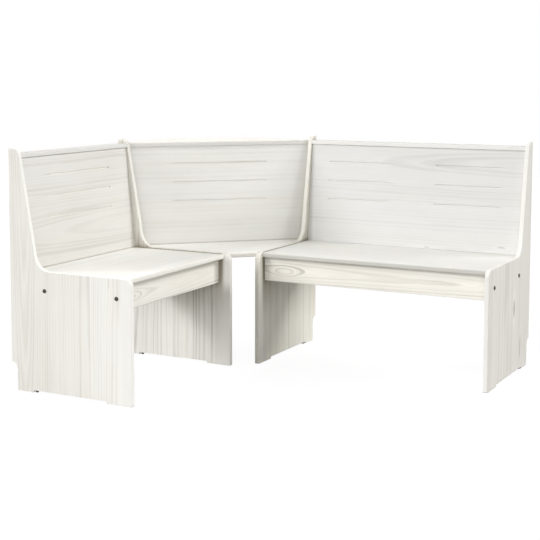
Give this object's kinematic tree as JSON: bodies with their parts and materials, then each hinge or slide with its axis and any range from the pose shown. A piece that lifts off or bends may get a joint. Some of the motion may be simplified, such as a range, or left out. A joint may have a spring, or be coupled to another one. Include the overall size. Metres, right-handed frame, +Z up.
{
  "type": "corner bench",
  "caption": "L-shaped pine corner bench: two benches with plank ends, leaning grooved backs and aprons, joined by a diagonal corner seat, upright corner back and top shelf.",
  "frame": {"origin": "middle of the bounding box in plan, at floor level", "axes": "+Z up; the long bench runs along +X away from the wall corner and faces -Y; the short bench runs along -Y away from the wall corner and faces +X"},
  "size_m": [1.573, 1.328, 0.9],
  "materials": {
    "whitewashed_pine": "whitewashed, clear matt lacquer",
    "plain_pine": "bare planed pine",
    "beech": "bare turned beech",
    "black_steel": "black oxide",
    "dark_steel": "dark zinc",
    "zinc_steel": "bright zinc"
  },
  "bodies": {
    "bench": {"corner_back_board": "whitewashed_pine", "corner_batten_screws": "zinc_steel", "corner_dowels": "beech", "corner_seat_board": "whitewashed_pine", "corner_seat_screws": "zinc_steel", "corner_top_batten": "plain_pine", "corner_top_board": "whitewashed_pine", "long_back_board": "whitewashed_pine", "long_back_dowels": "beech", "long_back_screws": "zinc_steel", "long_barrel_nuts": "zinc_steel", "long_cap_board": "whitewashed_pine", "long_cleat_screws": "zinc_steel", "long_connector_bolts": "black_steel", "long_corner_cleat": "plain_pine", "long_front_apron": "whitewashed_pine", "long_inner_side_panel": "whitewashed_pine", "long_leveller_inserts": "zinc_steel", "long_outer_side_panel": "whitewashed_pine", "long_rail_dowels": "beech", "long_rear_rail": "whitewashed_pine", "long_seat_board": "whitewashed_pine", "long_seat_dowels": "beech", "short_back_board": "whitewashed_pine", "short_back_dowels": "beech", "short_back_screws": "zinc_steel", "short_barrel_nuts": "zinc_steel", "short_cap_board": "whitewashed_pine", "short_cleat_screws": "zinc_steel", "short_connector_bolts": "black_steel", "short_corner_cleat": "plain_pine", "short_front_apron": "whitewashed_pine", "short_inner_side_panel": "whitewashed_pine", "short_leveller_inserts": "zinc_steel", "short_outer_side_panel": "whitewashed_pine", "short_rail_dowels": "beech", "short_rear_rail": "whitewashed_pine", "short_seat_board": "whitewashed_pine", "short_seat_dowels": "beech"},
    "long_inner_leveller": {"long_inner_leveller": "dark_steel"},
    "long_outer_leveller": {"long_outer_leveller": "dark_steel"},
    "short_inner_leveller": {"short_inner_leveller": "dark_steel"},
    "short_outer_leveller": {"short_outer_leveller": "dark_steel"}
  },
  "joints": [
    {"name": "long_inner_leveller_travel", "type": "slide", "parent": "bench", "child": "long_inner_leveller", "axis": [0, 0, -1], "range_m": [0, 0.008]},
    {"name": "long_outer_leveller_travel", "type": "slide", "parent": "bench", "child": "long_outer_leveller", "axis": [0, 0, -1], "range_m": [0, 0.008]},
    {"name": "short_inner_leveller_travel", "type": "slide", "parent": "bench", "child": "short_inner_leveller", "axis": [0, 0, -1], "range_m": [0, 0.008]},
    {"name": "short_outer_leveller_travel", "type": "slide", "parent": "bench", "child": "short_outer_leveller", "axis": [0, 0, -1], "range_m": [0, 0.008]}
  ]
}
